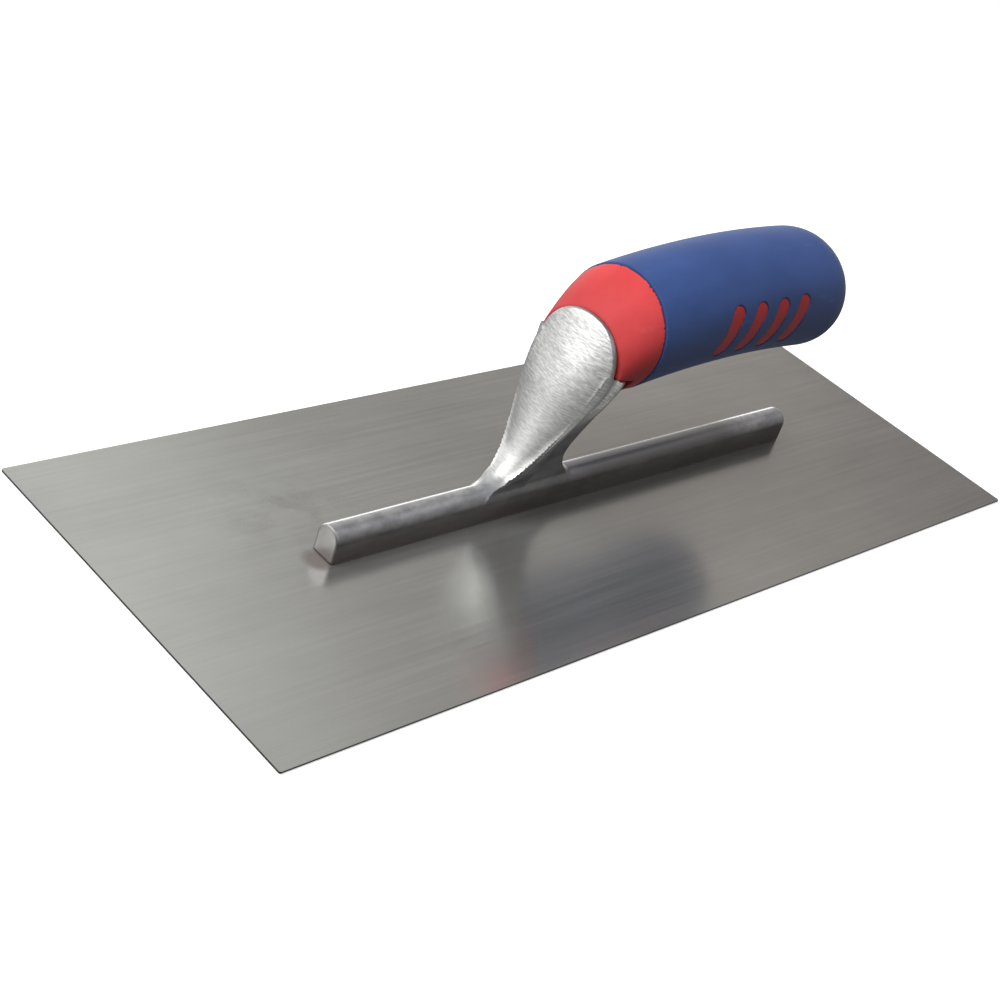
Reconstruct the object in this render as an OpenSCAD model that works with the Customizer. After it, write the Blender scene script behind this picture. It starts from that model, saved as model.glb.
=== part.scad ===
// Steel finishing trowel: a flat spring-steel blade riveted under a cast aluminium mounting,
// with a two-part moulded handle pressed on the mounting's tang and held by a long screw.
// Frame: origin at the bottom centre of the blade, +X towards the heel of the trowel
// (the open end of the handle), +Z up, millimetres. The part is symmetric about Y = 0.

/* [Blade] */
// Length of the blade, toe to heel
blade_length = 330; // [280:10:360]
// Width of the blade
blade_width = 127; // [110:1:140]
// Thickness of the blade
blade_thickness = 0.6; // [0.5:0.1:1]
// Radius of the blade's corners
blade_corner_radius = 0.6; // [0.2:0.1:3]

/* [Mounting bar] */
// Length of the mounting bar along the blade
bar_length = 206; // [180:2:230]
// Width of the mounting bar
bar_width = 8.8; // [8:0.2:11]
// Height of the bar above the blade
bar_height = 10.3; // [9:0.1:12]
// Width of the flat ground along the bar's crest
bar_land_width = 1; // [0.5:0.5:3]
// Radius at the top corners of the bar's ends
bar_end_radius = 2; // [0.5:0.5:4]

/* [Blade rivets] */
// Number of rivets, all in one row
rivet_count = 10; // [10:1:10]
// Distance from one rivet to the next
rivet_pitch = 21; // [15:0.5:21.5]
// Diameter of a rivet's shank
rivet_diameter = 4; // [3:0.5:5]
// Diameter of a rivet's flush head on the blade's underside
rivet_head_diameter = 7; // [6:0.5:8]
// Depth of the rivet in the mounting bar
rivet_depth = 6; // [4:0.5:7]

/* [Handle] */
// Height of the handle's axis at the crown of its arch
handle_crown_z = 65.5; // [63:0.5:70]
// Place of the crown along the trowel
handle_crown_x = 45; // [40:1:50]
// Radius of the arched axis
handle_arch_radius = 365; // [300:5:500]
// Half width of the handle
handle_half_width = 19.8; // [18.5:0.1:21]
// Half height of the handle at its middle
handle_half_height = 18.8; // [18:0.1:20]
// Place of the seam between the hard collar and the soft grip
seam_x = -11.1; // [-12.5:0.1:-10]
// Place of the handle's rear tip
handle_tip_x = 91; // [88:1:96]
// Length of the domed rear end
dome_length = 19; // [15:1:22]
// Thickness of the soft grip over the hard core
grip_thickness = 3; // [2:0.5:4]

/* [Grip windows] */
// Number of slanted windows on each side of the grip
window_count = 4; // [2:1:4]
// Distance from one window to the next
window_pitch = 11; // [9:0.5:12]
// Width of a window
window_width = 5.6; // [4:0.2:7]
// Height of a window
window_height = 17; // [12:0.5:18]
// Lean of the windows from upright, in degrees
window_lean = 20; // [0:1:30]
// Step from the grip's surface down to the core's pads
pad_recess = 0.2; // [0.1:0.1:0.5]

/* [Tang and handle screw] */
// Slope of the tang's axis, in degrees
tang_slope = 5; // [4:0.5:6]
// Radius of the tang at its root
tang_root_radius = 8; // [7:0.5:8]
// Radius of the tang at its tip
tang_tip_radius = 6.5; // [6:0.5:7]
// Length of the tang
tang_length = 75; // [60:1:80]
// Diameter of the handle screw
screw_diameter = 6; // [5:0.5:8]
// Length of the handle screw under its washer
screw_length = 40; // [30:1:45]
// Radius of the screw pocket and of the plug that closes it
plug_radius = 6.5; // [6:0.1:7]

/* [Hidden] */
eps = 0.01;
steel = [0.62, 0.62, 0.6];
cast_aluminium = [0.72, 0.73, 0.72];
hard_red = [0.82, 0.22, 0.23];
soft_blue = [0.16, 0.22, 0.42];

bar_top = blade_thickness + bar_height;

// Sides round the handle's skin, and stations along it.
skin_sides = 44;
skin_stations = 26;
collar_stations = 9;
pad_stations = 16;
// Stations get closer together towards the domed end when this is above 1.
dome_crowding = 1.6;
barrel_overlap = 2;
// The cross-sections lean back by this much per millimetre of height, less towards the rear.
section_lean = 0.13;
lean_ends_x = 40;
// The collar bends down from the seam to its front, where it meets the shank: its middle dips
// at an even rate and then drops, its underside falls a little, and it narrows.
collar_front_x = -23.2;
collar_dip = 0.95;
collar_drop = 6;
collar_drop_power = 1.8;
collar_floor_fall = 2;
collar_shrink_height = 3.1;
collar_shrink_width = 3.4;
collar_shrink_power = 1.1;
// The soft grip stands this much proud of the collar at the seam.
collar_inset = 0.35;
// Below this height the collar starts further back, so that the shank's shoulder fills the step.
shoulder_z = 54;
shoulder_x = -16.3;
step_reach = 30;
half_height_growth = 0.016;
half_height_growth_length = 30;
dome_power = 2.15;

// The row of windows, and the prisms that cut them out of each side of the grip.
window_middle_x = 37;
window_prism_y = 17;
window_prism_depth = 10;
pads_from_x = 0;
pads_to_x = 70;

// Distances along the tang's axis, from its root.
tang_root_x = -24;
tang_root_z = 57;
tang_start = 3;
washer_seat = 98;
washer_thickness = 1.2;
washer_radius = 6.2;
screw_head_radius = 5;
screw_head_height = 4;
screw_socket_width = 5;
screw_socket_depth = 2.4;
screw_clearance = 0.3;
plug_start = 105;
plug_end = 114.6;
plug_crown = 0.7;
pocket_depth = 40;

// ---------- functions ----------

function clamp01(t) = min(1, max(0, t));

// A smooth curve through four neighbouring rows, for the stretch between the middle two.
function catmull(p0, p1, p2, p3, t) =
    0.5 * (2 * p1 + (p2 - p0) * t + (2 * p0 - 5 * p1 + 4 * p2 - p3) * t * t
        + (3 * p1 - p0 - 3 * p2 + p3) * t * t * t);
function row_at(rows, i) = rows[min(len(rows) - 1, max(0, i))];
function between(rows, i, t) =
    catmull(row_at(rows, i - 1), row_at(rows, i), row_at(rows, i + 1), row_at(rows, i + 2), t);
function smooth_rows(rows, steps) = [
    for (i = [0 : len(rows) - 2]) for (k = [0 : steps - 1]) between(rows, i, k / steps),
    rows[len(rows) - 1]
];

// How far along the collar a station is, 0 at the seam and 1 at the front.
function bend(s) = clamp01((seam_x - s) / (seam_x - collar_front_x));
// How far along the rear dome a station is, 0 where it starts and 1 at the tip.
function dome(s, tip) = clamp01((s - (handle_tip_x - dome_length)) / (tip - handle_tip_x + dome_length));
function dome_scale(s, tip) = pow(max(0, 1 - pow(dome(s, tip), dome_power)), 1 / dome_power);
function arch_z(s) = handle_crown_z - pow(s - handle_crown_x, 2) / (2 * handle_arch_radius);
function axis_z(s) =
    arch_z(s) - collar_dip * bend(s) - collar_drop * pow(bend(s), collar_drop_power);
function half_height(s) =
    handle_half_height + half_height_growth * min(s - lean_ends_x, half_height_growth_length);
function upper_half(s) = half_height(s) - collar_shrink_height * bend(s);
// Under the collar the floor is nearly level.
function collar_floor_z(s) = arch_z(seam_x) - half_height(seam_x) - collar_floor_fall * bend(s);
function lower_half(s) =
    s < seam_x ? axis_z(s) - collar_floor_z(s) + collar_inset : half_height(s);
function half_width(s) =
    handle_half_width - collar_shrink_width * pow(bend(s), collar_shrink_power);
function lean(s) = section_lean * clamp01((lean_ends_x - s) / (lean_ends_x - seam_x));

// One ring of the handle's skin at station s, moved inwards by inset.
function skin_ring(s, inset) = [
    for (k = [0 : skin_sides - 1])
        let (angle = -360 * k / skin_sides,
            scale = dome_scale(s, handle_tip_x - inset),
            half = sin(angle) > 0 ? upper_half(s) : lower_half(s),
            dz = (half - inset) * scale * sin(angle))
        [s + lean(s) * dz, (half_width(s) - inset) * scale * cos(angle), axis_z(s) + dz]
];

// Stations from a to b, closer together towards b when crowd is above 1.
function stations(a, b, count, crowd) = [
    for (i = [0 : count]) a + (b - a) * (1 - pow(1 - i / count, crowd))
];

// A closed solid through rings of equal length, each wound the same way.
module loft(rings) {
    sides = len(rings[0]);
    last = len(rings) - 1;
    points = [for (ring = rings) for (p = ring) p];
    walls = [
        for (i = [0 : last - 1]) for (k = [0 : sides - 1])
            let (a = i * sides + k, b = i * sides + (k + 1) % sides)
            each [[a, b, b + sides], [a, b + sides, a + sides]]
    ];
    front = [for (k = [1 : sides - 2]) [0, k + 1, k]];
    back = [for (k = [1 : sides - 2]) [last * sides, last * sides + k, last * sides + k + 1]];
    polyhedron(points, concat(front, walls, back), convexity = 4);
}

// The handle's outer skin between two stations.
module skin(from, to, count, inset = 0, crowd = 1) {
    loft([for (s = stations(from, to, count, crowd)) skin_ring(s, inset)]);
}

// ---------- blade and rivets ----------

function rivet_x(i) = (i - (rivet_count + 1) / 2) * rivet_pitch;

module rivet_shape(i) {
    translate([rivet_x(i), 0, 0]) {
        cylinder(h = blade_thickness, d1 = rivet_head_diameter, d2 = rivet_diameter, $fn = 48);
        cylinder(h = blade_thickness + rivet_depth, d = rivet_diameter, $fn = 48);
    }
}

module rivet(i) {
    color("silver") rivet_shape(i);
}

module blade() {
    color(steel) difference() {
        linear_extrude(blade_thickness) blade_outline();
        for (i = [1 : rivet_count]) translate([rivet_x(i), 0, 0])
            cylinder(h = blade_thickness, d1 = rivet_head_diameter, d2 = rivet_diameter, $fn = 48);
    }
}

module blade_outline() {
    length = blade_length - 2 * blade_corner_radius;
    width = blade_width - 2 * blade_corner_radius;
    square([blade_length, width], center = true);
    square([length, blade_width], center = true);
    for (x = [-1, 1]) for (y = [-1, 1])
        translate([x * length / 2, y * width / 2]) circle(blade_corner_radius, $fn = 32);
}

// ---------- mounting: bar, shank and tang in one casting ----------

// The bar's cross-section, drawn with its height along Y.
module bar_section() {
    radius = bar_width / 2;
    land_z = bar_height - radius + sqrt(radius * radius - pow(bar_land_width / 2, 2));
    intersection() {
        union() {
            translate([0, bar_height - radius]) circle(radius, $fn = 96);
            translate([-radius, 0]) square([bar_width, bar_height - radius]);
        }
        translate([-radius, 0]) square([bar_width, land_z]);
    }
}

// The bar seen from the side, with its two top corners rounded.
module bar_side() {
    inner = bar_length - 2 * bar_end_radius;
    translate([-bar_length / 2, 0]) square([bar_length, bar_height - bar_end_radius]);
    translate([-inner / 2, 0]) square([inner, bar_height]);
    for (x = [-1, 1]) translate([x * inner / 2, bar_height - bar_end_radius])
        circle(bar_end_radius, $fn = 48);
}

module bar() {
    translate([0, 0, blade_thickness]) intersection() {
        rotate([90, 0, 90]) translate([0, 0, -bar_length / 2])
            linear_extrude(bar_length) bar_section();
        rotate([90, 0, 0]) linear_extrude(2 * bar_width, center = true) bar_side();
    }
}

// The shank's ground front face. Each row is: height, place of the face's crest,
// place of its two edges, and half the distance between those edges.
face_rows = [
    [9, -48.2, -46.5, 2.2],
    [11, -44.4, -43, 3.3],
    [14, -40.4, -38.5, 4.9],
    [20, -36.5, -34.2, 6.9],
    [26, -34.9, -32.2, 8.9],
    [32, -33.7, -30.5, 10.8],
    [38, -32.4, -28.8, 12.7],
    [44, -31, -27, 14.3],
    [50, -29.1, -25, 15.3],
    [54, -27.6, -23.9, 15.4],
    [58, -25.9, -23.1, 14.5],
    [62, -24.2, -22.5, 11.9],
    [65, -22.9, -22.1, 7.6],
    [66.3, -22.3, -21.9, 3]
];
face_steps = 2;
face_sides = 14;
face_rim = 1.6;
face_back_limit = -30;
face_back_bevel = 0.2;

// The collar's front plane, which the back of the face rests on.
function collar_plane(z) = collar_front_x + section_lean * (z - axis_z(collar_front_x));

// One level of the face plate: a shallow arc in front and a straight back.
function face_ring(row) =
    let (z = row[0], crest = row[1], edge = row[2], half = row[3],
        back = z > shoulder_z ? collar_plane(z) : max(edge + face_rim, face_back_limit))
    concat(
        [for (k = [0 : face_sides])
            let (u = 2 * k / face_sides - 1) [edge - (edge - crest) * (1 - u * u), half * u, z]],
        [[back, half - face_back_bevel, z], [back, face_back_bevel - half, z]]
    );

module face_plate() {
    loft([for (row = smooth_rows(face_rows, face_steps)) face_ring(row)]);
}

// The body behind the face. Each row is: height, front, rear, half width at the front
// and half width at the rear.
body_rows = [
    [7, -46, -8, 2.6, 2.6],
    [11, -43, -10, 3.4, 3],
    [13.5, -40, -12.6, 4.2, 3.1],
    [17, -37, -14.2, 5.4, 3.2],
    [22, -34.5, -14.8, 7, 4.6],
    [28, -32.5, -15, 8.8, 7.3],
    [34, -30.5, -15.2, 10.4, 10.3],
    [40, -28.5, -15.6, 11.3, 13.4],
    [46, -27, -16.3, 12.4, 15.9],
    [51, -25.5, -16.3, 13.2, 17.4],
    [54, -24.5, -16.3, 13.6, 17.8]
];
body_steps = 2;
body_corner = 6;
// How deep the rounding of the rear is, as a share of its half width and of its length.
rear_rounding = 0.6;
rear_rounding_limit = 0.6;

// One level of the body: straight front and sides, with the rear rounded as half an ellipse.
function body_ring(row) =
    let (z = row[0], front = row[1], rear = row[2], near = row[3], far = row[4],
        depth = min(rear_rounding * far, rear_rounding_limit * (rear - front)))
    concat(
        [[front, -near, z], [front, near, z]],
        [for (k = [0 : 2 * body_corner])
            let (angle = 90 - 90 * k / body_corner)
            [rear - depth + depth * cos(angle), far * sin(angle), z]]
    );

module body() {
    loft([for (row = smooth_rows(body_rows, body_steps)) body_ring(row)]);
}

// Puts its children on the tang's axis, with Z along the tang and 0 at its root.
module on_tang() {
    translate([tang_root_x, 0, tang_root_z]) rotate([0, 90 - tang_slope, 0]) children();
}

module tang_cone() {
    on_tang() translate([0, 0, tang_start])
        cylinder(h = tang_length - tang_start, r1 = tang_root_radius, r2 = tang_tip_radius, $fn = 64);
}

module screw_hole() {
    depth = tang_length - (washer_seat - screw_length);
    on_tang() translate([0, 0, tang_length - depth]) cylinder(h = depth + 1, d = screw_diameter, $fn = 48);
}

module mounting() {
    color(cast_aluminium) difference() {
        union() {
            bar();
            face_plate();
            difference() {
                body();
                collar();
            }
            tang_cone();
        }
        screw_hole();
        for (i = [1 : rivet_count]) rivet_shape(i);
    }
}

// ---------- handle ----------

// The collar: the part of the core that shows in front of the grip.
module collar() {
    difference() {
        skin(collar_front_x, seam_x, collar_stations, collar_inset);
        shoulder_step();
    }
}

module shoulder_step() {
    translate([shoulder_x - step_reach, -step_reach, shoulder_z - step_reach])
        cube([step_reach, 2 * step_reach, step_reach]);
}

// The core's barrel under the grip.
module barrel() {
    skin(seam_x - barrel_overlap, handle_tip_x - grip_thickness - eps, skin_stations, grip_thickness,
        dome_crowding);
}

// The windows, as upright prisms that reach through both sides of the grip.
module window_prisms() {
    for (side = [-1, 1]) for (i = [0 : window_count - 1]) {
        x = window_middle_x + (i - (window_count - 1) / 2) * window_pitch;
        translate([x, side * window_prism_y, handle_crown_z])
            rotate([90, 0, 0]) linear_extrude(window_prism_depth, center = true)
                rotate(-window_lean) window_outline();
    }
}

module window_outline() {
    straight = window_height - window_width;
    square([window_width, straight], center = true);
    for (end = [-1, 1]) translate([0, end * straight / 2]) circle(d = window_width, $fn = 32);
}

module core_pads() {
    intersection() {
        skin(pads_from_x, pads_to_x, pad_stations, pad_recess);
        window_prisms();
    }
}

module handle_core() {
    color(hard_red) difference() {
        union() {
            collar();
            barrel();
            core_pads();
        }
        tang_cone();
        on_tang() translate([0, 0, tang_length - 1])
            cylinder(h = washer_seat, d = screw_diameter + 2 * screw_clearance, $fn = 48);
        screw_pocket();
    }
}

module screw_pocket() {
    on_tang() translate([0, 0, washer_seat]) cylinder(h = pocket_depth, r = plug_radius, $fn = 64);
}

module grip_sleeve() {
    color(soft_blue) difference() {
        skin(seam_x, handle_tip_x - eps, skin_stations, 0, dome_crowding);
        barrel();
        window_prisms();
        screw_pocket();
    }
}

module handle_screw() {
    head = washer_seat + washer_thickness;
    color("silver") on_tang() difference() {
        union() {
            translate([0, 0, washer_seat - screw_length])
                cylinder(h = screw_length + washer_thickness, d = screw_diameter, $fn = 48);
            translate([0, 0, head]) cylinder(h = screw_head_height, r = screw_head_radius, $fn = 64);
        }
        translate([0, 0, head + screw_head_height - screw_socket_depth])
            cylinder(h = screw_socket_depth + 1, d = screw_socket_width, $fn = 6);
    }
}

module screw_washer() {
    color("silver") on_tang() translate([0, 0, washer_seat]) difference() {
        cylinder(h = washer_thickness, r = washer_radius, $fn = 64);
        translate([0, 0, -1])
            cylinder(h = washer_thickness + 2, d = screw_diameter, $fn = 48);
    }
}

// The plug is a short cylinder with a shallow crown that follows the grip's dome.
module end_plug() {
    ball = (plug_radius * plug_radius + plug_crown * plug_crown) / (2 * plug_crown);
    color(soft_blue) on_tang() intersection() {
        translate([0, 0, plug_start]) cylinder(h = 2 * plug_radius, r = plug_radius, $fn = 64);
        translate([0, 0, plug_end - ball]) sphere(ball, $fn = 128);
    }
}

blade();
mounting();
rivet(1);  // rivet_1
rivet(2);  // rivet_2
rivet(3);  // rivet_3
rivet(4);  // rivet_4
rivet(5);  // rivet_5
rivet(6);  // rivet_6
rivet(7);  // rivet_7
rivet(8);  // rivet_8
rivet(9);  // rivet_9
rivet(10);  // rivet_10
handle_core();
grip_sleeve();
handle_screw();
screw_washer();
end_plug();
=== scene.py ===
"""Looks of a steel finishing trowel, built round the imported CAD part.

Lengths in the shape functions are millimetres; meshes are scaled to metres when they are made.
X runs towards the open end of the handle, Y across the blade and Z up, as in the CAD.
"""
import math

import bpy
import numpy as np
from mathutils import Matrix, Vector


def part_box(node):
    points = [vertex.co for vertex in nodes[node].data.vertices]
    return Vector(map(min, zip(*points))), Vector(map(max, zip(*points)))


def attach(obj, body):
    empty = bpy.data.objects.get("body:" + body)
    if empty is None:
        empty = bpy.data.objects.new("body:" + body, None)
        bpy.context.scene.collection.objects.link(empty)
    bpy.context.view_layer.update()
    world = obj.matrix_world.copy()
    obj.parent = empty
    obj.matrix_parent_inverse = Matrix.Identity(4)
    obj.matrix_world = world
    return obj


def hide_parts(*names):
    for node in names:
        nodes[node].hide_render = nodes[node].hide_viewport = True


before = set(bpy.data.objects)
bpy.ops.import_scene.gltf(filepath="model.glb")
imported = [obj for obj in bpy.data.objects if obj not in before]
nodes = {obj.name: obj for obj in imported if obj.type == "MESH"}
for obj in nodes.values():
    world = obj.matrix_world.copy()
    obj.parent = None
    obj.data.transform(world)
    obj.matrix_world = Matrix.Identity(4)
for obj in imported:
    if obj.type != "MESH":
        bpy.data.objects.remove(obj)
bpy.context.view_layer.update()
MM = 0.001

# ---------- sizes ----------

BLADE_TOP = (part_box("blade")[1] / MM).z
BAR_HALF_LENGTH = (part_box("mounting")[1] / MM).x
BAR_HALF_WIDTH, BAR_HEIGHT = 4.4, 10.3
BAR_TOP = BLADE_TOP + BAR_HEIGHT
BAR_LAND = BAR_TOP - 0.03
BAR_END_ROUNDING, BAR_EDGE_ROUNDING = 1.1, 0.3

# The handle: an arched axis, and an oval section that leans back less and less towards LEAN_END.
CROWN_Z, CROWN_X, ARCH_RADIUS = 65.5, 45.0, 365.0
HALF_WIDTH, HALF_HEIGHT = 19.8, 18.8
HEIGHT_GROWTH, GROWTH_LENGTH = 0.016, 30
SECTION_LEAN, LEAN_END = 0.13, 40.0
STATION_ROUNDS = 6
TIP = 91.0
DOME_START, DOME_POWER = 72.0, 2.15
SEAM, SEAM_GAP = -11.1, 0.3
# The collar bends down from the seam to its front: it dips evenly, then drops, and it narrows.
COLLAR_FRONT, COLLAR_INSET = -23.2, 0.35
COLLAR_DIP, COLLAR_DROP, COLLAR_DROP_POWER = 0.95, 6.0, 1.8
COLLAR_FLOOR_FALL, COLLAR_SHRINK_HEIGHT = 2.0, 3.1
COLLAR_SHRINK_WIDTH, COLLAR_SHRINK_POWER = 3.4, 1.1
SHOULDER_Z, SHOULDER_X = 54.0, -16.3
# The gap between collar and face is wider below GAP_TOP.
COLLAR_GAP, COLLAR_GAP_EXTRA, GAP_TOP, GAP_FADE = 0.2, 0.8, 63, 9
GRIP_THICKNESS, PAD_RECESS, FIT, BARREL_OVERLAP = 3.0, 0.2, 0.02, 2
COLLAR_FRONT_ROUNDING, COLLAR_SEAM_ROUNDING, SLEEVE_SEAM_ROUNDING, SOFT_EDGE = 0.6, 0.35, 0.4, 0.5
WINDOW_COUNT, WINDOW_PITCH, WINDOW_WIDTH, WINDOW_HEIGHT = 4, 11.0, 5.6, 17.0
WINDOW_MIDDLE, WINDOW_LEAN, WINDOW_INNER_Y = 37.0, math.radians(20), 12
# The tang inside the handle, the screw's bore behind it and the plug's pocket.
TANG_ROOT, TANG_SLOPE = Vector((-24.0, 0.0, 57.0)), math.radians(5)
TANG_START, TANG_LENGTH, TANG_ROOT_RADIUS, TANG_TIP_RADIUS = 3.0, 75.0, 8.0, 6.5
BORE_RADIUS, BORE_OVERLAP = 3.3, 1
POCKET_START, POCKET_RADIUS = 98.0, 6.5


# ---------- signed fields: negative inside ----------

def smooth_min(a, b, width):
    t = np.clip(0.5 + 0.5 * (b - a) / width, 0, 1)
    return b + (a - b) * t - width * t * (1 - t)


def smooth_max(a, b, width):
    return -smooth_min(-a, -b, width)


def clamp01(t):
    return np.clip(t, 0, 1)


def bend(s):
    """0 at the seam and 1 at the collar's front."""
    return clamp01((SEAM - s) / (SEAM - COLLAR_FRONT))


def arch_z(s):
    return CROWN_Z - (s - CROWN_X) ** 2 / (2 * ARCH_RADIUS)


def axis_z(s):
    return arch_z(s) - COLLAR_DIP * bend(s) - COLLAR_DROP * bend(s) ** COLLAR_DROP_POWER


def half_height(s):
    return HALF_HEIGHT + HEIGHT_GROWTH * np.minimum(s - LEAN_END, GROWTH_LENGTH)


def upper_half(s):
    return half_height(s) - COLLAR_SHRINK_HEIGHT * bend(s)


def lower_half(s):
    """Under the collar the floor is nearly level."""
    floor_z = arch_z(SEAM) - half_height(SEAM) - COLLAR_FLOOR_FALL * bend(s)
    return np.where(s < SEAM, axis_z(s) - floor_z + COLLAR_INSET, half_height(s))


def half_width(s):
    return HALF_WIDTH - COLLAR_SHRINK_WIDTH * bend(s) ** COLLAR_SHRINK_POWER


def lean(s):
    return SECTION_LEAN * clamp01((LEAN_END - s) / (LEAN_END - SEAM))


def station(x, z):
    """Which leaning cross-section of the handle a point lies in."""
    s = x
    for _ in range(STATION_ROUNDS):
        s = x - lean(s) * (z - axis_z(s))
    return s


def skin(x, y, z, inset=0.0, s=None):
    """The handle's outer form: an oval section, closed by a dome at the open end."""
    s = station(x, z) if s is None else s
    dz = z - axis_z(s)
    half = np.where(dz > 0, upper_half(s), lower_half(s))
    radius = np.hypot(y / (half_width(s) - inset), dz / (half - inset))
    dome = clamp01((s - DOME_START) / (TIP - inset - DOME_START))
    return ((radius ** DOME_POWER + dome ** DOME_POWER) ** (1 / DOME_POWER) - 1) * (HALF_HEIGHT - inset)


def along_tang(x, y, z):
    """Distance along the tang's axis, and distance from it."""
    c, s = math.cos(TANG_SLOPE), math.sin(TANG_SLOPE)
    dx, dz = x - TANG_ROOT.x, z - TANG_ROOT.z
    return dx * c + dz * s, np.hypot(y, dz * c - dx * s)


def tang(x, y, z, clearance=0.0):
    t, r = along_tang(x, y, z)
    share = (t - TANG_START) / (TANG_LENGTH - TANG_START)
    radius = TANG_ROOT_RADIUS + (TANG_TIP_RADIUS - TANG_ROOT_RADIUS) * share
    return np.maximum(r - radius - clearance, np.maximum(TANG_START - t, t - TANG_LENGTH))


def pocket(x, y, z):
    t, r = along_tang(x, y, z)
    return np.maximum(r - POCKET_RADIUS, POCKET_START - t)


def windows(x, y, z):
    """The slanted windows through the grip, as upright slots."""
    best = np.full(np.broadcast(x, y, z).shape, np.inf)
    half = (WINDOW_HEIGHT - WINDOW_WIDTH) / 2
    for i in range(WINDOW_COUNT):
        dx = x - WINDOW_MIDDLE - (i - (WINDOW_COUNT - 1) / 2) * WINDOW_PITCH
        dz = z - CROWN_Z
        across = dx * math.cos(WINDOW_LEAN) - dz * math.sin(WINDOW_LEAN)
        up = dx * math.sin(WINDOW_LEAN) + dz * math.cos(WINDOW_LEAN)
        slot = np.hypot(across, np.maximum(np.abs(up) - half, 0)) - WINDOW_WIDTH / 2
        best = np.minimum(best, slot)
    return np.maximum(best, WINDOW_INNER_Y - np.abs(y))


def rows_at(rows, z, column):
    """A row table read at height z with a smooth curve between rows."""
    rows = np.asarray(rows, float)
    zs, values = rows[:, 0], rows[:, column]
    slopes = np.gradient(values, zs)
    i = np.clip(np.searchsorted(zs, z) - 1, 0, len(zs) - 2)
    h = zs[i + 1] - zs[i]
    t = np.clip((z - zs[i]) / h, 0, 1)
    return (values[i] * (1 + 2 * t) * (1 - t) ** 2 + slopes[i] * h * t * (1 - t) ** 2
            + values[i + 1] * t * t * (3 - 2 * t) + slopes[i + 1] * h * t * t * (t - 1))


# The shank's ground face: height, its crest's x, its edge's x and its half width.
FACE = [(8, -49, -47, 2.0), (11, -44.4, -43, 3.3), (14, -40.4, -38.5, 4.9), (20, -36.5, -34.2, 6.9),
        (26, -34.9, -32.2, 8.9), (32, -33.7, -30.5, 10.8), (38, -32.4, -28.8, 12.7), (44, -31, -27, 14.3),
        (50, -29.1, -25, 15.4), (54, -27.6, -23.9, 15.4), (58, -25.9, -23.1, 15.4), (62, -24.2, -22.5, 15.4),
        (65, -22.9, -22.1, 15.4), (68, -21.4, -21.4, 15.4)]
FACE_TOP, FACE_CENTRE_Z, FACE_FOOT, FACE_POWER = 66.5, 50.0, 7.5, 2.3
FACE_SLOPE, FACE_OVERRUN = 0.85, 1.3
FACE_EDGE_ROUNDING, FACE_RIM, RIM_ROUNDING, RIM_FRONT_LIMIT = 0.7, 1.2, 0.3, -30
# The shank's body: height, front, rear, half width at the front and at the rear.
BODY = [(7, -46, -8, 2.6, 2.6), (11, -43, -10, 3.4, 3), (13.5, -40, -12.6, 4.2, 3.1),
        (17, -37, -14.2, 5.4, 3.2), (22, -34.5, -14.8, 7, 4.6), (28, -32.5, -15, 8.8, 7.3),
        (34, -30.5, -15.2, 10.4, 10.3), (40, -28.5, -15.6, 11.3, 13.4), (46, -27, -16.3, 12.4, 15.9),
        (51, -25.5, -16.3, 13.2, 17.4), (54, -24.5, -16.3, 13.6, 17.8)]
BODY_FOOT, REAR_ROUNDING = 5, 0.6
# A groove runs behind the rim, from GROOVE_FOOT up.
GROOVE_DEPTH, GROOVE_BEHIND_RIM, GROOVE_FLAT, GROOVE_SIDE = 1.0, 0.5, 1.4, 0.6
GROOVE_FOOT, GROOVE_FADE = 34, 8
BODY_TO_FACE, BAR_TO_SHANK = 0.6, 1.6


def bar(x, y, z):
    centre = BAR_TOP - BAR_HALF_WIDTH
    side = np.where(z < centre, np.abs(y), np.hypot(y, z - centre)) - BAR_HALF_WIDTH
    section = smooth_max(side, z - BAR_LAND, BAR_EDGE_ROUNDING)
    ends = np.abs(x) - BAR_HALF_LENGTH
    return smooth_max(smooth_max(section, ends, BAR_END_ROUNDING), BLADE_TOP - z, BAR_EDGE_ROUNDING)


def face(x, y, z):
    crest, edge, half = (rows_at(FACE, z, i) for i in (1, 2, 3))
    bulge = 1 - np.minimum(y / half, FACE_OVERRUN) ** 2
    front = (edge - (edge - crest) * bulge - x) * FACE_SLOPE
    straight = np.abs(y) - half
    height = np.maximum(z - FACE_CENTRE_Z, 0) / (FACE_TOP - FACE_CENTRE_Z)
    outline = (((np.abs(y) / half) ** FACE_POWER + height ** FACE_POWER) ** (1 / FACE_POWER) - 1) * half
    side = np.where(z > FACE_CENTRE_Z, outline, straight)
    plane = COLLAR_FRONT + SECTION_LEAN * (z - float(axis_z(np.array(COLLAR_FRONT))))
    back = np.where(z > SHOULDER_Z, plane, np.maximum(edge + FACE_RIM, RIM_FRONT_LIMIT))
    plate = smooth_max(front, side, FACE_EDGE_ROUNDING)
    return np.maximum(smooth_max(plate, x - back, RIM_ROUNDING), FACE_FOOT - z)


def body(x, y, z):
    front, rear, near, far = (rows_at(BODY, z, i) for i in (1, 2, 3, 4))
    depth = REAR_ROUNDING * np.minimum(far, rear - front)
    width = near + (far - near) * clamp01((x - front) / (rear - depth - front))
    from_middle = np.abs(x - rows_at(FACE, z, 2) - FACE_RIM - GROOVE_BEHIND_RIM)
    groove = clamp01(GROOVE_FLAT - from_middle / GROOVE_SIDE) * clamp01((z - GROOVE_FOOT) / GROOVE_FADE)
    width = width - GROOVE_DEPTH * groove
    solid = (np.hypot(y / width, np.maximum(x - rear + depth, 0) / depth) - 1) * np.minimum(width, depth)
    solid = np.maximum(solid, np.maximum(front - x, np.maximum(BODY_FOOT - z, z - SHOULDER_Z)))
    inside_collar = np.maximum(skin(x, y, z, COLLAR_INSET), SHOULDER_X - x)
    return np.maximum(solid, -inside_collar)


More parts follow.
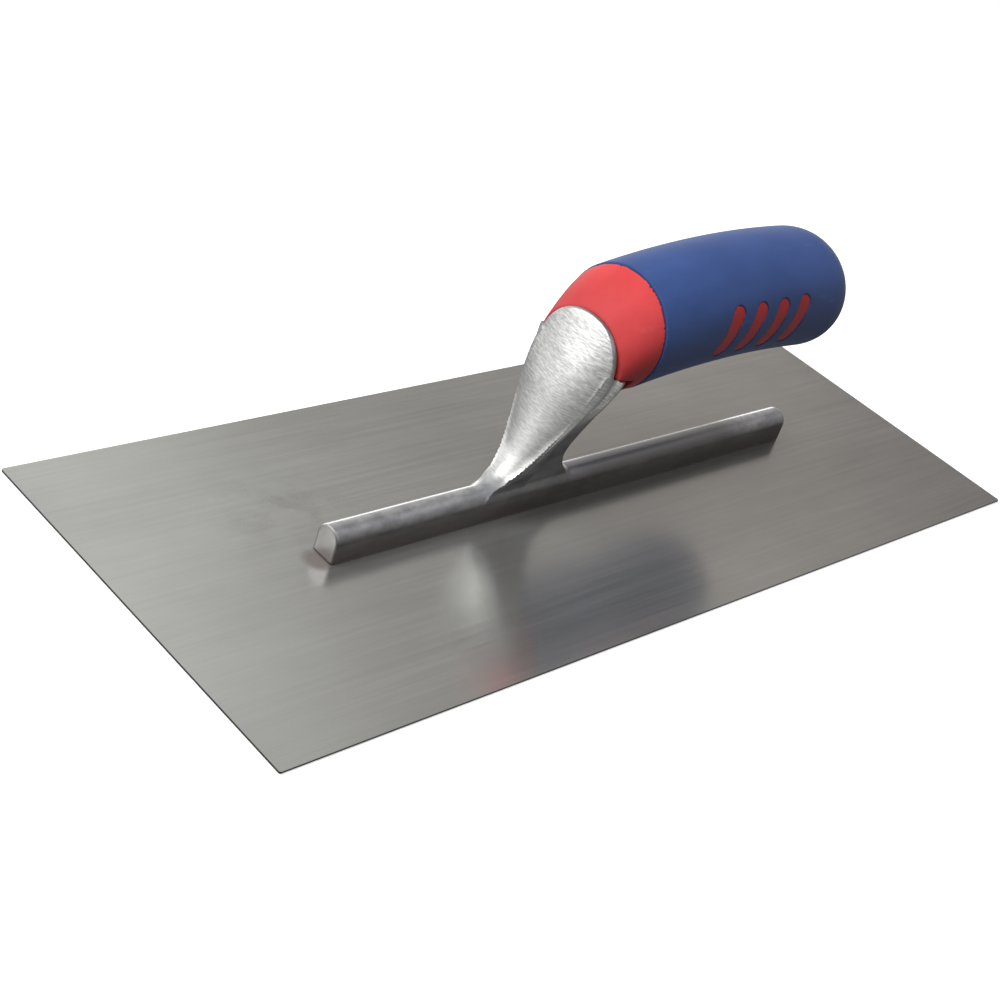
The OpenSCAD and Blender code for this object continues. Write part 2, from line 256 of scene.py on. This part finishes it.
def mounting(x, y, z):
    shank = smooth_min(body(x, y, z), face(x, y, z), BODY_TO_FACE)
    whole = smooth_min(bar(x, y, z), shank, BAR_TO_SHANK)
    return np.minimum(whole, tang(x, y, z))


def collar(x, y, z, s):
    gap = COLLAR_GAP + COLLAR_GAP_EXTRA * clamp01((GAP_TOP - z) / GAP_FADE)
    front = smooth_max(skin(x, y, z, COLLAR_INSET, s), COLLAR_FRONT + gap - s, COLLAR_FRONT_ROUNDING)
    both = smooth_max(front, s - SEAM, COLLAR_SEAM_ROUNDING)
    step = np.maximum(z - SHOULDER_Z, x - SHOULDER_X)
    return smooth_max(both, -step, SOFT_EDGE)


def handle_core(x, y, z):
    s = station(x, z)
    barrel = np.maximum(skin(x, y, z, GRIP_THICKNESS + FIT, s), SEAM - BARREL_OVERLAP - s)
    pads = np.maximum(skin(x, y, z, PAD_RECESS, s), windows(x, y, z) + FIT)
    solid = np.minimum(np.minimum(collar(x, y, z, s), barrel), pads)
    t, r = along_tang(x, y, z)
    bore = np.maximum(r - BORE_RADIUS, TANG_LENGTH - BORE_OVERLAP - t)
    hollow = np.minimum(np.minimum(tang(x, y, z, FIT), bore), pocket(x, y, z))
    return np.maximum(solid, -hollow)


def grip_sleeve(x, y, z):
    s = station(x, z)
    outer = smooth_max(skin(x, y, z, 0.0, s), SEAM + SEAM_GAP - s, SLEEVE_SEAM_ROUNDING)
    shell = np.maximum(outer, -skin(x, y, z, GRIP_THICKNESS, s))
    shell = smooth_max(shell, -windows(x, y, z), SOFT_EDGE)
    return smooth_max(shell, -pocket(x, y, z), SOFT_EDGE)


# ---------- mesh from a field ----------

STEP, FINE_STEP = 0.5, 0.4
MARGIN_CELLS, PULLS, LEAST_SLOPE = 2, 4, 0.05


def gradient(field, points, reach=0.02):
    slopes = []
    for axis in range(3):
        offset = np.zeros(3)
        offset[axis] = reach
        slopes.append((field(*(points + offset).T) - field(*(points - offset).T)) / (2 * reach))
    return np.stack(slopes, 1)


def net(name, field, low, high, step):
    """A closed mesh of four-sided faces on field = 0, each corner pulled on to the surface."""
    axes = [np.arange(a - MARGIN_CELLS * step, b + (MARGIN_CELLS + 1) * step, step)
            for a, b in zip(low, high)]
    value = field(*np.meshgrid(*axes, indexing="ij"))
    inside = value < 0
    nx, ny, nz = (n - 1 for n in inside.shape)
    total = np.zeros((nx, ny, nz), np.int8)
    for i in (0, 1):
        for j in (0, 1):
            for k in (0, 1):
                total += inside[i:nx + i, j:ny + j, k:nz + k]
    cells = np.argwhere((total > 0) & (total < 8))
    index = np.full((nx, ny, nz), -1)
    index[tuple(cells.T)] = np.arange(len(cells))
    sums, counts = np.zeros((len(cells), 3)), np.zeros(len(cells))
    for axis in range(3):
        others = [a for a in range(3) if a != axis]
        for corner in ((0, 0), (0, 1), (1, 0), (1, 1)):
            start = cells.copy()
            start[:, others] += corner
            end = start.copy()
            end[:, axis] += 1
            a, b = value[tuple(start.T)], value[tuple(end.T)]
            crosses = (a < 0) != (b < 0)
            point = start.astype(float)
            point[:, axis] += np.where(crosses, a / np.where(crosses, a - b, 1), 0)
            sums += point * crosses[:, None]
            counts += crosses
    points = sums / counts[:, None] * step + [a[0] for a in axes]
    quads = []
    for axis in range(3):
        lower = np.moveaxis(inside, axis, 0)[:-1]
        upper = np.moveaxis(inside, axis, 0)[1:]
        found = np.argwhere(lower != upper)
        leaves = lower[tuple(found.T)]
        order = [axis] + [a for a in range(3) if a != axis]
        edges = np.empty_like(found)
        edges[:, order] = found
        u, v = (axis + 1) % 3, (axis + 2) % 3
        ring = []
        for du, dv in ((0, 0), (1, 0), (1, 1), (0, 1)):
            cell = edges.copy()
            cell[:, u] -= du
            cell[:, v] -= dv
            ring.append(index[tuple(cell.T)])
        ring = np.stack(ring, 1)
        ring[~leaves] = ring[~leaves][:, ::-1]
        quads.append(ring)
    for _ in range(PULLS):
        slope = gradient(field, points)
        move = slope * (field(*points.T) / np.maximum((slope ** 2).sum(1), LEAST_SLOPE))[:, None]
        points -= np.clip(move, -step / 2, step / 2)
    normals = gradient(field, points)
    normals /= np.maximum(np.linalg.norm(normals, axis=1), 1e-6)[:, None]
    return mesh_object(name, points * MM, np.concatenate(quads), normals)


def mesh_object(name, points, faces, normals=None):
    """A smooth-shaded object in the scene, from points in metres."""
    mesh = bpy.data.meshes.new(name)
    mesh.from_pydata([tuple(p) for p in points], [], [tuple(int(i) for i in f) for f in faces])
    mesh.polygons.foreach_set("use_smooth", [True] * len(mesh.polygons))
    mesh.update()
    if normals is not None:
        mesh.normals_split_custom_set_from_vertices([tuple(n) for n in normals])
    item = bpy.data.objects.new(name, mesh)
    bpy.context.scene.collection.objects.link(item)
    return item


# ---------- materials ----------

# Two marks on the blade, in metres.
STAIN_PLACE, STAIN_RADII = (-0.098, 0.022), (0.034, 0.026)
SMUDGE_PLACE, SMUDGE_RADII = (-0.1048, -0.001), (0.0062, 0.0062)


class Graph:
    """A small helper for node trees: add() makes a node and fills its inputs with values or links."""

    def __init__(self, tree):
        self.tree = tree
        self.tree.nodes.clear()

    def add(self, kind, inputs=None, out=0, **settings):
        node = self.tree.nodes.new("ShaderNode" + kind)
        for key, setting in settings.items():
            setattr(node, key, setting)
        for key, value in (inputs or {}).items():
            if hasattr(value, "is_linked"):
                self.tree.links.new(value, node.inputs[key])
            else:
                node.inputs[key].default_value = value
        return node.outputs[out] if len(node.outputs) else node

    def math(self, operation, a, b=0.0):
        return self.add("Math", {0: a, 1: b}, operation=operation)

    def ramp(self, value, low, high, to_low=0.0, to_high=1.0, smooth=True):
        kind = "SMOOTHSTEP" if smooth else "LINEAR"
        return self.add("MapRange", {"Value": value, "From Min": low, "From Max": high, "To Min": to_low,
                                     "To Max": to_high}, interpolation_type=kind)

    def blend(self, factor, a, b):
        """From value a to value b."""
        return self.add("Mix", {0: factor, 2: a, 3: b})

    def mix(self, factor, a, b, blend="MIX"):
        """From colour a to colour b."""
        node = self.tree.nodes.new("ShaderNodeMix")
        node.data_type, node.blend_type = "RGBA", blend
        for slot, value in (("Factor_Float", factor), ("A_Color", a), ("B_Color", b)):
            socket = next(i for i in node.inputs if i.identifier == slot)
            if hasattr(value, "is_linked"):
                self.tree.links.new(value, socket)
            else:
                socket.default_value = value
        return next(o for o in node.outputs if o.identifier == "Result_Color")

    def noise(self, vector, scale, stretch=(1, 1, 1), detail=3.0, roughness=0.5):
        """Noise with about this many features per metre on each axis, times stretch."""
        place = self.add("Mapping", {"Vector": vector, "Scale": [scale * k for k in stretch]})
        return self.add("TexNoise", {"Vector": place, "Scale": 1.0, "Detail": detail, "Roughness": roughness})

    def spot(self, x, y, radius_x, radius_y, coordinates, soft=0.6):
        """1 inside a soft ellipse on the blade at x, y in metres, 0 outside."""
        place = self.add("Mapping", {"Vector": coordinates, "Location": (-x / radius_x, -y / radius_y, 0),
                                     "Scale": (1 / radius_x, 1 / radius_y, 0)})
        reach = self.add("VectorMath", {0: place}, out=1, operation="LENGTH")
        return self.ramp(reach, 1 - soft, 1.0, 1.0, 0.0)


def rgb(r, g, b):
    return (r, g, b, 1.0)


def new_material(name):
    material = bpy.data.materials.new(name)
    material.use_nodes = True
    graph = Graph(material.node_tree)
    coordinates = graph.add("TexCoord", out=3)
    return material, graph, coordinates


def finish_material(graph, inputs):
    shader = graph.add("BsdfPrincipled", inputs)
    graph.add("OutputMaterial", {"Surface": shader})


def grey(graph, value):
    return graph.add("CombineColor", {0: value, 1: value, 2: value})


def facing(graph):
    """The surface normal's three parts."""
    split = graph.add("SeparateXYZ", {0: graph.add("NewGeometry", out=1)}, out=0).node
    return [split.outputs[i] for i in range(3)]


def blade_material():
    """Steel ground lengthways, with a grey stain and a brown smudge near the bar's front end."""
    material, g, at = new_material("blade_steel")
    fine = g.noise(at, 22, (1, 140, 1), 2.0)
    streak = g.noise(at, 16, (1, 42, 1), 2.0)
    broad = g.noise(at, 11, (1, 16, 1), 2.0)
    grain = g.math("ADD", g.math("MULTIPLY", fine, 0.35), g.math("MULTIPLY", streak, 0.4))
    grain = g.math("ADD", grain, g.math("MULTIPLY", broad, 0.25))
    cloud = g.noise(at, 14, (1.0, 1.6, 1), 4.0, 0.55)
    patchy = g.noise(at, 90, (1, 1, 1), 4.0, 0.6)
    stain = g.math("MULTIPLY", g.spot(*STAIN_PLACE, *STAIN_RADII, at, 0.9), g.ramp(patchy, 0.42, 0.62))
    smudge = g.math("MULTIPLY", g.spot(*SMUDGE_PLACE, *SMUDGE_RADII, at, 0.6), g.ramp(patchy, 0.25, 0.5))
    tint = g.mix(g.ramp(cloud, 0.3, 0.7), rgb(0.53, 0.527, 0.51), rgb(0.585, 0.585, 0.565))
    tint = g.mix(g.math("MULTIPLY", stain, 0.30), tint, rgb(0.36, 0.355, 0.335))
    tint = g.mix(g.math("MULTIPLY", smudge, 0.55), tint, rgb(0.24, 0.17, 0.15))
    tint = g.mix(1.0, tint, grey(g, g.ramp(grain, 0.36, 0.64, 0.93, 1.06, False)), "MULTIPLY")
    cut_edge = g.ramp(g.math("ABSOLUTE", facing(g)[2]), 0.5, 0.9, 1.0, 0.0)
    tint = g.mix(cut_edge, tint, rgb(0.10, 0.10, 0.105))
    rough = g.ramp(grain, 0.36, 0.64, 0.17, 0.23, False)
    rough = g.math("ADD", rough, g.math("MULTIPLY", stain, 0.10))
    rough = g.math("ADD", rough, g.math("MULTIPLY", smudge, 0.25))
    bump = g.add("Bump", {"Strength": 0.08, "Distance": 0.00004, "Height": grain})
    across = g.add("CombineXYZ", {0: 0.0, 1: 1.0, 2: 0.0})
    finish_material(g, {"Base Color": tint, "Metallic": 0.86, "Roughness": rough, "Anisotropic": 0.5,
                        "Tangent": across, "Normal": bump})
    return material


def cast_material():
    """Cast alloy: a bright ground face, dull mottled sides, and a crest along the bar tinted light as a
    painted highlight. Painted light makes the ground face lighter low down and the sides lighter higher up,
    painted shade darkens the bar under the handle, and the bar's lower sides are darker, partly a dirty joint
    and partly painted shade.
    """
    material, g, at = new_material("cast_alloy")
    place = g.add("SeparateXYZ", {0: at}, out=0).node
    along, height = place.outputs[0], place.outputs[2]
    facing_rear, facing_far, facing_up = facing(g)
    facing_front = g.math("MULTIPLY", facing_rear, -1.0)
    marks = g.noise(at, 450, (0.5, 1, 5.5), 2.0, 0.6)
    broad = g.noise(at, 150, (0.5, 0.7, 3), 3.0, 0.6)
    speck = g.noise(at, 900, (1, 1, 1), 3.0, 0.6)
    cloud = g.noise(at, 110, (0.35, 1, 1), 4.0, 0.6)
    mottle = g.noise(at, 260, (0.6, 1, 1), 4.0, 0.65)
    lined = g.math("ADD", g.math("MULTIPLY", marks, 0.8), g.math("MULTIPLY", broad, 0.2))

    # Where each finish lies, and where light and shade are painted.
    on_shank = g.ramp(height, 0.0115, 0.0150)
    ground = g.math("MULTIPLY", g.ramp(facing_front, 0.50, 0.58), on_shank)
    bar_end = g.math("MULTIPLY", g.ramp(facing_front, 0.55, 0.85), g.math("SUBTRACT", 1.0, on_shank))
    crest = g.math("MULTIPLY", g.ramp(facing_up, 0.10, 0.60), g.ramp(height, 0.030, 0.022))
    far_crest = g.math("MULTIPLY", g.ramp(facing_far, 0.15, 0.45), crest)
    # Painted shade: the stretch of bar under the handle.
    handle_shade = g.math("MULTIPLY", g.ramp(along, -0.030, 0.010), g.ramp(along, 0.085, 0.065))
    foot = g.ramp(height, 0.0085, 0.0030)

    # Painted highlight: the crest is tinted light, near white, where it catches the light.
    crest_highlight = g.mix(g.ramp(mottle, 0.35, 0.65), rgb(0.70, 0.705, 0.73), rgb(0.98, 0.98, 1.0))
    # Painted shade: under the handle the crest's light tint is dimmed to grey.
    crest_tint = g.mix(handle_shade, crest_highlight, rgb(0.50, 0.49, 0.49))
    # Painted highlight: the crest's far shoulder is tinted near white, and dark grey under the handle as
    # painted shade.
    far_crest_highlight = g.mix(handle_shade, rgb(0.95, 0.95, 0.95), rgb(0.20, 0.197, 0.195))
    side = g.mix(g.ramp(cloud, 0.35, 0.65), rgb(0.22, 0.215, 0.22), rgb(0.36, 0.355, 0.36))
    side = g.mix(g.math("MULTIPLY", g.ramp(speck, 0.55, 0.75), 0.3), side, rgb(0.55, 0.55, 0.55))
    # Partly a dirty joint and partly painted shade: the bar's lower sides turn dark brown towards the blade.
    side = g.mix(g.math("MULTIPLY", foot, 0.6), side, rgb(0.15, 0.118, 0.105))
    # Painted light: the sides are lighter higher up the shank.
    side = g.mix(g.ramp(height, 0.022, 0.048), side, rgb(0.58, 0.58, 0.57))
    side = g.mix(g.math("MULTIPLY", crest, 0.85), side, crest_tint)
    side = g.mix(far_crest, side, far_crest_highlight)
    side = g.mix(bar_end, side, rgb(0.42, 0.415, 0.41))
    lines = g.ramp(lined, 0.38, 0.62)
    # Painted light: the ground face is tinted lighter low down than high up.
    face_low = g.mix(lines, rgb(0.80, 0.80, 0.79), rgb(1.0, 1.0, 0.99))
    face_high = g.mix(lines, rgb(0.59, 0.595, 0.585), rgb(0.88, 0.875, 0.865))
    tint = g.mix(ground, side, g.mix(g.ramp(height, 0.030, 0.055), face_low, face_high))

    rough = g.ramp(cloud, 0.3, 0.7, 0.34, 0.46, False)
    rough = g.blend(crest, rough, 0.48)
    rough = g.blend(far_crest, rough, 0.24)
    rough = g.blend(ground, rough, 0.30)
    rugged = g.math("ADD", g.math("MULTIPLY", cloud, 0.6), g.math("MULTIPLY", speck, 0.4))
    bump = g.add("Bump", {"Strength": 0.5, "Distance": 0.00016, "Height": g.blend(ground, rugged, lined)})
    finish_material(g, {"Base Color": tint, "Metallic": 1.0, "Roughness": rough, "Normal": bump})
    return material


def plastic_material(name, deep, light, rough_low, rough_high, sheen=0.0, grain=0.00003, specular=0.5,
                     wear=0.08, painted_under_shade=0.85, painted_window_shade=None):
    """Moulded plastic, with painted shade: faces that look level or down are darkened by the under shade,
    faces that look straight down are painted light again, and the window shade darkens the pads in the
    windows.
    """
    material, g, at = new_material(name)
    cloud = g.noise(at, 55, (0.6, 1, 1), 4.0, 0.6)
    pores = g.noise(at, 2600, (1, 1, 1), 2.0)
    scuffs = g.noise(at, 160, (0.25, 1, 1.4), 5.0, 0.65)
    worn = g.ramp(scuffs, 0.60, 0.74)
    tint = g.mix(g.ramp(cloud, 0.3, 0.7), deep, light)
    tint = g.mix(g.math("MULTIPLY", worn, wear), tint, rgb(0.55, 0.55, 0.58))
    upright = facing(g)[2]
    # Painted shade on faces that look level or down, and painted light again on faces that look straight
    # down.
    shade = g.math("ADD", g.ramp(upright, 0.0, 0.9, painted_under_shade, 1.0),
                   g.ramp(upright, -0.30, -0.65, 0.0, 1 - painted_under_shade))
    # Painted shade in the windows: the pads beyond x = -2 mm get this darker tint in place of the facing
    # shade.
    if painted_window_shade:
        along = g.add("SeparateXYZ", {0: at}, out=0)
        shade = g.blend(g.ramp(along, -0.006, -0.002), shade, painted_window_shade)
    tint = g.mix(1.0, tint, grey(g, shade), "MULTIPLY")
    rough = g.ramp(cloud, 0.3, 0.7, rough_low, rough_high, False)
    rough = g.math("ADD", rough, g.math("MULTIPLY", worn, 0.1))
    bump = g.add("Bump", {"Strength": 0.6, "Distance": grain, "Height": pores})
    finish_material(g, {"Base Color": tint, "Roughness": rough, "Normal": bump, "Sheen Weight": sheen,
                        "Sheen Roughness": 0.5, "Specular IOR Level": specular})
    return material


def metal_material(name, tint_low, tint_high, rough_low, rough_high, stretch):
    """Small fixings: one metal with faint clouds and fine lines."""
    material, g, at = new_material(name)
    cloud = g.noise(at, 260, stretch, 3.0)
    fine = g.noise(at, 1800, stretch, 2.0)
    tint = g.mix(g.ramp(cloud, 0.3, 0.7), tint_low, tint_high)
    rough = g.ramp(cloud, 0.3, 0.7, rough_low, rough_high, False)
    bump = g.add("Bump", {"Strength": 0.25, "Distance": 0.00003, "Height": fine})
    finish_material(g, {"Base Color": tint, "Metallic": 1.0, "Roughness": rough, "Normal": bump})
    return material


steel = blade_material()
cast = cast_material()
# The red gets painted shade: 0.60 on faces that look level or down, 0.70 on the pads in the windows.
red = plastic_material("hard_red", rgb(0.54, 0.044, 0.046), rgb(0.61, 0.058, 0.062), 0.44, 0.54,
                       grain=0.00002, specular=0.4, wear=0.03, painted_under_shade=0.60, painted_window_shade=0.70)
blue = plastic_material("soft_blue", rgb(0.026, 0.059, 0.190), rgb(0.036, 0.076, 0.235), 0.56, 0.70,
                        sheen=0.1, grain=0.00005, specular=0.38)
plug_blue = plastic_material("plug_blue", rgb(0.028, 0.05, 0.16), rgb(0.036, 0.062, 0.19), 0.4, 0.5)
rivet_metal = metal_material("rivet_alloy", rgb(0.50, 0.50, 0.48), rgb(0.62, 0.62, 0.60), 0.26, 0.38,
                             (0.3, 8, 1))
zinc = metal_material("zinc_steel", rgb(0.52, 0.53, 0.55), rgb(0.64, 0.65, 0.66), 0.25, 0.4, (1, 1, 1))


def dress(item, material):
    """Puts one material in every slot of an object."""
    if not item.data.materials:
        item.data.materials.append(material)
    for i in range(len(item.data.materials)):
        item.data.materials[i] = material


# ---------- pieces ----------

def stand_for(item, node, material):
    """Shows this skin in place of a CAD node."""
    dress(item, material)
    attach(item, "root")
    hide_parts(node)


def cad_box(node):
    """A CAD node's box in millimetres."""
    low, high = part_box(node)
    return [c / MM for c in low], [c / MM for c in high]


for node, field, step, slot, material in (("mounting", mounting, FINE_STEP, "cast_alloy", cast),
                                          ("handle_core", handle_core, STEP, "hard_red", red),
                                          ("grip_sleeve", grip_sleeve, STEP, "soft_blue", blue)):
    stand_for(net("visual_" + node, field, *cad_box(node), step), node, material)

dress(nodes["blade"], steel)
dress(nodes["end_plug"], plug_blue)
for name in ("handle_screw", "screw_washer"):
    dress(nodes[name], zinc)
for name, node in nodes.items():
    if name.startswith("rivet_"):
        dress(node, rivet_metal)


# ---------- floor, light and camera ----------

FLOOR_HALF, FLOOR_Z = 12.0, -0.0004
# The studio's brightness all round, as (degrees from east towards north, colour).
STUDIO = [(-90, (0.13, 0.125, 0.12)), (0, (0.11, 0.10, 0.095)), (10, (0.15, 0.135, 0.13)),
          (16, (0.24, 0.22, 0.205)), (22, (0.38, 0.35, 0.33)), (26, (0.36, 0.335, 0.315)),
          (32, (0.30, 0.28, 0.265)), (40, (0.31, 0.305, 0.29)), (44, (0.44, 0.44, 0.42)),
          (49, (0.66, 0.665, 0.64)), (53, (0.75, 0.76, 0.735)), (75, (0.72, 0.725, 0.71)),
          (100, (0.60, 0.605, 0.60)), (130, (0.75, 0.76, 0.75)), (150, (1.0, 1.0, 0.99)),
          (168, (0.62, 0.62, 0.61)), (188, (0.17, 0.17, 0.165)), (225, (0.16, 0.155, 0.15))]
CAMERA_PLACE, CAMERA_LENS, SENSOR_WIDTH = Vector((-0.397245, -0.267394, 0.277132)), 63.266, 36.0
CAMERA_FORWARD, CAMERA_UP = Vector((0.688286, 0.506974, -0.518883)), Vector((0.191231, 0.563170, 0.803909))


def stage_floor():
    """A white floor that the camera sees, but that neither lights the trowel nor shows in its metal."""
    a = FLOOR_HALF
    floor = mesh_object("floor", [(-a, -a, 0), (a, -a, 0), (a, a, 0), (-a, a, 0)], [(0, 1, 2, 3)])
    floor.location.z = FLOOR_Z
    material, g, _ = new_material("floor_white")
    finish_material(g, {"Base Color": rgb(0.86, 0.86, 0.86), "Roughness": 0.9, "Emission Color": rgb(1, 1, 1),
                        "Emission Strength": 0.45})
    dress(floor, material)
    floor.visible_diffuse = floor.visible_glossy = False


def area_light(name, place, target, size, energy, glossy):
    """A square soft box at place that looks at target. `glossy` says if metal reflects it."""
    data = bpy.data.lights.new(name, "AREA")
    data.shape, data.size, data.energy = "SQUARE", size, energy
    lamp = bpy.data.objects.new(name, data)
    bpy.context.scene.collection.objects.link(lamp)
    lamp.location = place
    lamp.visible_glossy = glossy
    lamp.rotation_euler = (Vector(target) - Vector(place)).to_track_quat("-Z", "Y").to_euler()


def studio_world():
    """A soft studio round the trowel: panels that lean with height, a darker ceiling, a bright horizon."""
    world = bpy.data.worlds.new("studio")
    bpy.context.scene.world = world
    world.use_nodes = True
    g = Graph(world.node_tree)
    way = g.add("SeparateXYZ", {0: g.add("TexCoord", out=0)}, out=0).node
    east, north, up = way.outputs
    turn = g.math("ARCTAN2", g.math("MULTIPLY", east, -1.0), north)
    turn = g.math("ADD", turn, g.ramp(up, 0.30, 0.75, -0.279, 0.206, False))
    panels = world.node_tree.nodes.new("ShaderNodeValToRGB")
    world.node_tree.links.new(g.ramp(turn, -math.pi, math.pi, 0, 1, False), panels.inputs[0])
    ramp = panels.color_ramp
    ramp.interpolation = "EASE"
    while len(ramp.elements) < len(STUDIO):
        ramp.elements.new(1.0)
    for element, (degrees, colour) in zip(ramp.elements, STUDIO):
        element.position, element.color = (degrees + 90) / 360, rgb(*colour)

    south = g.ramp(north, 0.10, -0.35)
    high_north = g.math("MULTIPLY", g.ramp(up, 0.66, 0.85), g.math("SUBTRACT", 1.0, south))
    high_south = g.math("MULTIPLY", g.ramp(up, 0.45, 0.75), south)
    below = g.ramp(up, 0.02, -0.12)
    horizon = g.math("MULTIPLY", g.ramp(g.math("ABSOLUTE", up), 0.24, 0.08), g.ramp(north, 0.15, 0.45))
    horizon_east = g.math("MULTIPLY", horizon, g.ramp(east, 0.2, 0.5))
    sky = g.mix(high_north, panels.outputs[0], rgb(0.16, 0.16, 0.16))
    sky = g.mix(high_south, sky, rgb(0.50, 0.505, 0.525))
    sky = g.mix(below, sky, rgb(0.26, 0.26, 0.26))
    sky = g.mix(horizon, sky, rgb(0.95, 0.95, 0.95))
    sky = g.mix(horizon_east, sky, rgb(1.7, 1.7, 1.7))
    g.add("OutputWorld", {"Surface": g.add("Background", {"Color": sky, "Strength": 1.0})})


def camera():
    data = bpy.data.cameras.new("camera")
    data.sensor_width, data.lens = SENSOR_WIDTH, CAMERA_LENS
    data.clip_start, data.clip_end = 0.01, 100.0
    item = bpy.data.objects.new("camera", data)
    bpy.context.scene.collection.objects.link(item)
    right = CAMERA_FORWARD.cross(CAMERA_UP).normalized()
    up = right.cross(CAMERA_FORWARD).normalized()
    turn = Matrix((right, up, -CAMERA_FORWARD.normalized())).transposed().to_4x4()
    item.matrix_world = Matrix.Translation(CAMERA_PLACE) @ turn
    bpy.context.scene.camera = item


stage_floor()
studio_world()
area_light("overhead", place=(-0.45, 0.10, 1.1), target=(0, 0, 0), size=0.9, energy=15.5, glossy=False)
area_light("left_fill", place=(-0.9, 0.5, 0.7), target=(0, 0, 0.03), size=0.7, energy=2.6, glossy=True)
camera()
bpy.context.scene.view_settings.view_transform = "Standard"
